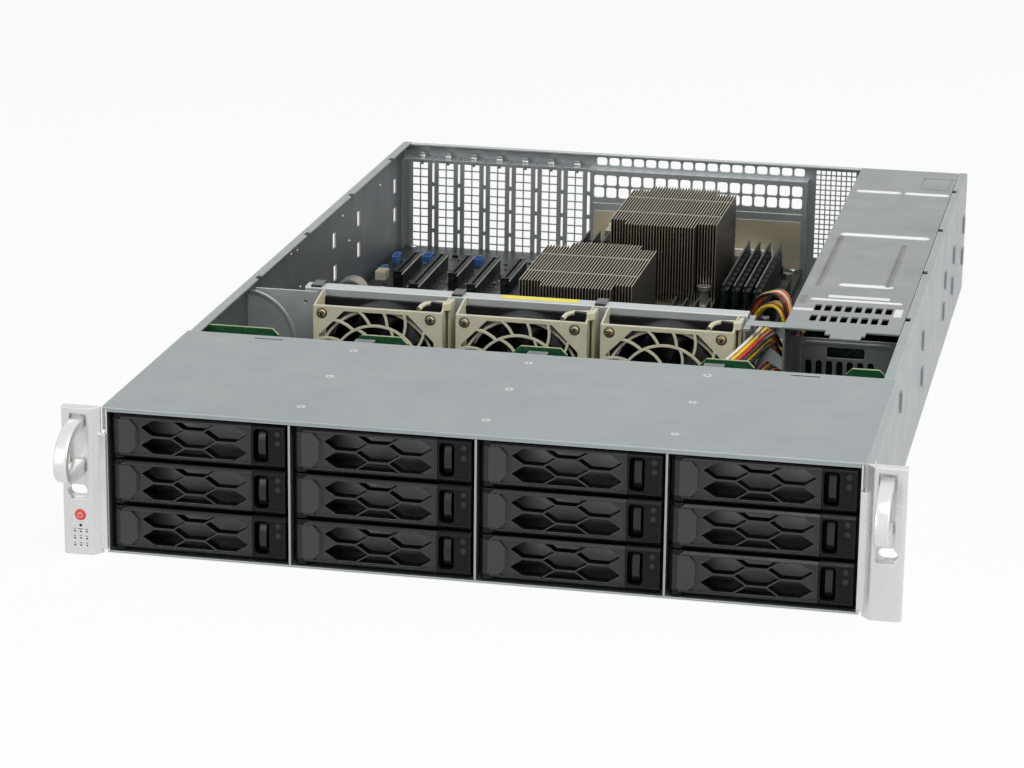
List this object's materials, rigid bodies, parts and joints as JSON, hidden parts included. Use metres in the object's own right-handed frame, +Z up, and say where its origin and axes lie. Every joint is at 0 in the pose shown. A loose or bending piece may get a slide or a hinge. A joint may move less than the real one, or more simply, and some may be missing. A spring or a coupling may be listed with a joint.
{
  "type": "rack server",
  "caption": "Rack server in a long sheet-metal chassis with lever-latched front drive trays, lift-out fans, finned processor coolers and pull-out power supplies; the rear top cover is off.",
  "frame": {"origin": "middle of the whole outline seen from above, on the underside", "axes": "+X to the right seen from the front, +Y from the front grips to the rear, +Z up"},
  "size_m": [0.4826, 0.786, 0.088],
  "materials": {
    "zinc_sheet": "satin zinc-plated sheet steel",
    "ear_metal": "satin cast and extruded aluminium",
    "drive_metal": "carrier frame with a drive",
    "black_plastic": "glossy black moulding",
    "grey_plastic": "matte",
    "circuit_board": "solder mask green",
    "cream_plastic": "cream moulding",
    "rotor_plastic": "black moulding",
    "heatsink_metal": "bare fins",
    "supply_case": "plated case",
    "wire_insulation": "glossy insulation",
    "screw_metal": "bright plated"
  },
  "bodies": {
    "chassis": {"chassis_base": "zinc_sheet", "rear_panel": "zinc_sheet", "front_top_cover": "zinc_sheet", "drive_cage": "zinc_sheet", "backplane": "circuit_board", "fan_partition": "zinc_sheet", "motherboard": "circuit_board", "memory_modules": "circuit_board", "cpu_heatsinks": "heatsink_metal", "slot_covers": "zinc_sheet", "psu_cage": "zinc_sheet", "left_ear": "ear_metal", "right_ear": "ear_metal", "power_cables": "wire_insulation", "screws": "screw_metal"},
    "tray_1": {"drive_tray_1": "drive_metal"},
    "lever_1": {"tray_handle_1": "black_plastic"},
    "release_1": {"tray_button_1": "black_plastic"},
    "tray_2": {"drive_tray_2": "drive_metal"},
    "lever_2": {"tray_handle_2": "black_plastic"},
    "release_2": {"tray_button_2": "black_plastic"},
    "tray_3": {"drive_tray_3": "drive_metal"},
    "lever_3": {"tray_handle_3": "black_plastic"},
    "release_3": {"tray_button_3": "black_plastic"},
    "tray_4": {"drive_tray_4": "drive_metal"},
    "lever_4": {"tray_handle_4": "black_plastic"},
    "release_4": {"tray_button_4": "black_plastic"},
    "tray_5": {"drive_tray_5": "drive_metal"},
    "lever_5": {"tray_handle_5": "black_plastic"},
    "release_5": {"tray_button_5": "black_plastic"},
    "tray_6": {"drive_tray_6": "drive_metal"},
    "lever_6": {"tray_handle_6": "black_plastic"},
    "release_6": {"tray_button_6": "black_plastic"},
    "tray_7": {"drive_tray_7": "drive_metal"},
    "lever_7": {"tray_handle_7": "black_plastic"},
    "release_7": {"tray_button_7": "black_plastic"},
    "tray_8": {"drive_tray_8": "drive_metal"},
    "lever_8": {"tray_handle_8": "black_plastic"},
    "release_8": {"tray_button_8": "black_plastic"},
    "tray_9": {"drive_tray_9": "drive_metal"},
    "lever_9": {"tray_handle_9": "black_plastic"},
    "release_9": {"tray_button_9": "black_plastic"},
    "tray_10": {"drive_tray_10": "drive_metal"},
    "lever_10": {"tray_handle_10": "black_plastic"},
    "release_10": {"tray_button_10": "black_plastic"},
    "tray_11": {"drive_tray_11": "drive_metal"},
    "lever_11": {"tray_handle_11": "black_plastic"},
    "release_11": {"tray_button_11": "black_plastic"},
    "tray_12": {"drive_tray_12": "drive_metal"},
    "lever_12": {"tray_handle_12": "black_plastic"},
    "release_12": {"tray_button_12": "black_plastic"},
    "fan_module_1": {"fan_1": "cream_plastic"},
    "rotor_1": {"fan_rotor_1": "rotor_plastic"},
    "fan_module_2": {"fan_2": "cream_plastic"},
    "rotor_2": {"fan_rotor_2": "rotor_plastic"},
    "fan_module_3": {"fan_3": "cream_plastic"},
    "rotor_3": {"fan_rotor_3": "rotor_plastic"},
    "supply_upper": {"psu_upper": "supply_case"},
    "supply_lower": {"psu_lower": "supply_case"},
    "power_key": {"power_button": "grey_plastic"}
  },
  "joints": [
    {"name": "tray_slide_1", "type": "slide", "parent": "chassis", "child": "tray_1", "axis": [0, -1, 0], "range_m": [0, 0.18]},
    {"name": "lever_hinge_1", "type": "hinge", "parent": "tray_1", "child": "lever_1", "pos_m": [-0.2096, -0.3485, 0.071], "axis": [0, 0, -1], "range_deg": [0, 62]},
    {"name": "release_press_1", "type": "slide", "parent": "tray_1", "child": "release_1", "axis": [0, 1, 0], "range_m": [0, 0.002], "stiffness_N_per_m": 400},
    {"name": "tray_slide_2", "type": "slide", "parent": "chassis", "child": "tray_2", "axis": [0, -1, 0], "range_m": [0, 0.18]},
    {"name": "lever_hinge_2", "type": "hinge", "parent": "tray_2", "child": "lever_2", "pos_m": [-0.1014, -0.3485, 0.071], "axis": [0, 0, -1], "range_deg": [0, 62]},
    {"name": "release_press_2", "type": "slide", "parent": "tray_2", "child": "release_2", "axis": [0, 1, 0], "range_m": [0, 0.002], "stiffness_N_per_m": 400},
    {"name": "tray_slide_3", "type": "slide", "parent": "chassis", "child": "tray_3", "axis": [0, -1, 0], "range_m": [0, 0.18]},
    {"name": "lever_hinge_3", "type": "hinge", "parent": "tray_3", "child": "lever_3", "pos_m": [0.0068, -0.3485, 0.071], "axis": [0, 0, -1], "range_deg": [0, 62]},
    {"name": "release_press_3", "type": "slide", "parent": "tray_3", "child": "release_3", "axis": [0, 1, 0], "range_m": [0, 0.002], "stiffness_N_per_m": 400},
    {"name": "tray_slide_4", "type": "slide", "parent": "chassis", "child": "tray_4", "axis": [0, -1, 0], "range_m": [0, 0.18]},
    {"name": "lever_hinge_4", "type": "hinge", "parent": "tray_4", "child": "lever_4", "pos_m": [0.115, -0.3485, 0.071], "axis": [0, 0, -1], "range_deg": [0, 62]},
    {"name": "release_press_4", "type": "slide", "parent": "tray_4", "child": "release_4", "axis": [0, 1, 0], "range_m": [0, 0.002], "stiffness_N_per_m": 400},
    {"name": "tray_slide_5", "type": "slide", "parent": "chassis", "child": "tray_5", "axis": [0, -1, 0], "range_m": [0, 0.18]},
    {"name": "lever_hinge_5", "type": "hinge", "parent": "tray_5", "child": "lever_5", "pos_m": [-0.2096, -0.3485, 0.0434], "axis": [0, 0, -1], "range_deg": [0, 62]},
    {"name": "release_press_5", "type": "slide", "parent": "tray_5", "child": "release_5", "axis": [0, 1, 0], "range_m": [0, 0.002], "stiffness_N_per_m": 400},
    {"name": "tray_slide_6", "type": "slide", "parent": "chassis", "child": "tray_6", "axis": [0, -1, 0], "range_m": [0, 0.18]},
    {"name": "lever_hinge_6", "type": "hinge", "parent": "tray_6", "child": "lever_6", "pos_m": [-0.1014, -0.3485, 0.0434], "axis": [0, 0, -1], "range_deg": [0, 62]},
    {"name": "release_press_6", "type": "slide", "parent": "tray_6", "child": "release_6", "axis": [0, 1, 0], "range_m": [0, 0.002], "stiffness_N_per_m": 400},
    {"name": "tray_slide_7", "type": "slide", "parent": "chassis", "child": "tray_7", "axis": [0, -1, 0], "range_m": [0, 0.18]},
    {"name": "lever_hinge_7", "type": "hinge", "parent": "tray_7", "child": "lever_7", "pos_m": [0.0068, -0.3485, 0.0434], "axis": [0, 0, -1], "range_deg": [0, 62]},
    {"name": "release_press_7", "type": "slide", "parent": "tray_7", "child": "release_7", "axis": [0, 1, 0], "range_m": [0, 0.002], "stiffness_N_per_m": 400},
    {"name": "tray_slide_8", "type": "slide", "parent": "chassis", "child": "tray_8", "axis": [0, -1, 0], "range_m": [0, 0.18]},
    {"name": "lever_hinge_8", "type": "hinge", "parent": "tray_8", "child": "lever_8", "pos_m": [0.115, -0.3485, 0.0434], "axis": [0, 0, -1], "range_deg": [0, 62]},
    {"name": "release_press_8", "type": "slide", "parent": "tray_8", "child": "release_8", "axis": [0, 1, 0], "range_m": [0, 0.002], "stiffness_N_per_m": 400},
    {"name": "tray_slide_9", "type": "slide", "parent": "chassis", "child": "tray_9", "axis": [0, -1, 0], "range_m": [0, 0.18]},
    {"name": "lever_hinge_9", "type": "hinge", "parent": "tray_9", "child": "lever_9", "pos_m": [-0.2096, -0.3485, 0.0158], "axis": [0, 0, -1], "range_deg": [0, 62]},
    {"name": "release_press_9", "type": "slide", "parent": "tray_9", "child": "release_9", "axis": [0, 1, 0], "range_m": [0, 0.002], "stiffness_N_per_m": 400},
    {"name": "tray_slide_10", "type": "slide", "parent": "chassis", "child": "tray_10", "axis": [0, -1, 0], "range_m": [0, 0.18]},
    {"name": "lever_hinge_10", "type": "hinge", "parent": "tray_10", "child": "lever_10", "pos_m": [-0.1014, -0.3485, 0.0158], "axis": [0, 0, -1], "range_deg": [0, 62]},
    {"name": "release_press_10", "type": "slide", "parent": "tray_10", "child": "release_10", "axis": [0, 1, 0], "range_m": [0, 0.002], "stiffness_N_per_m": 400},
    {"name": "tray_slide_11", "type": "slide", "parent": "chassis", "child": "tray_11", "axis": [0, -1, 0], "range_m": [0, 0.18]},
    {"name": "lever_hinge_11", "type": "hinge", "parent": "tray_11", "child": "lever_11", "pos_m": [0.0068, -0.3485, 0.0158], "axis": [0, 0, -1], "range_deg": [0, 62]},
    {"name": "release_press_11", "type": "slide", "parent": "tray_11", "child": "release_11", "axis": [0, 1, 0], "range_m": [0, 0.002], "stiffness_N_per_m": 400},
    {"name": "tray_slide_12", "type": "slide", "parent": "chassis", "child": "tray_12", "axis": [0, -1, 0], "range_m": [0, 0.18]},
    {"name": "lever_hinge_12", "type": "hinge", "parent": "tray_12", "child": "lever_12", "pos_m": [0.115, -0.3485, 0.0158], "axis": [0, 0, -1], "range_deg": [0, 62]},
    {"name": "release_press_12", "type": "slide", "parent": "tray_12", "child": "release_12", "axis": [0, 1, 0], "range_m": [0, 0.002], "stiffness_N_per_m": 400},
    {"name": "fan_lift_1", "type": "slide", "parent": "chassis", "child": "fan_module_1", "axis": [0, 0, 1], "range_m": [0, 0.095]},
    {"name": "fan_spin_1", "type": "hinge", "parent": "fan_module_1", "child": "rotor_1", "pos_m": [-0.12365, -0.077, 0.0413], "axis": [0, -1, 0], "continuous": true},
    {"name": "fan_lift_2", "type": "slide", "parent": "chassis", "child": "fan_module_2", "axis": [0, 0, 1], "range_m": [0, 0.095]},
    {"name": "fan_spin_2", "type": "hinge", "parent": "fan_module_2", "child": "rotor_2", "pos_m": [-0.0299, -0.077, 0.0413], "axis": [0, -1, 0], "continuous": true},
    {"name": "fan_lift_3", "type": "slide", "parent": "chassis", "child": "fan_module_3", "axis": [0, 0, 1], "range_m": [0, 0.095]},
    {"name": "fan_spin_3", "type": "hinge", "parent": "fan_module_3", "child": "rotor_3", "pos_m": [0.06385, -0.077, 0.0413], "axis": [0, -1, 0], "continuous": true},
    {"name": "supply_slide_upper", "type": "slide", "parent": "chassis", "child": "supply_upper", "axis": [0, 1, 0], "range_m": [0, 0.3]},
    {"name": "supply_slide_lower", "type": "slide", "parent": "chassis", "child": "supply_lower", "axis": [0, 1, 0], "range_m": [0, 0.3]},
    {"name": "power_press", "type": "slide", "parent": "chassis", "child": "power_key", "axis": [0, 1, 0], "range_m": [0, 0.001], "stiffness_N_per_m": 500}
  ]
}
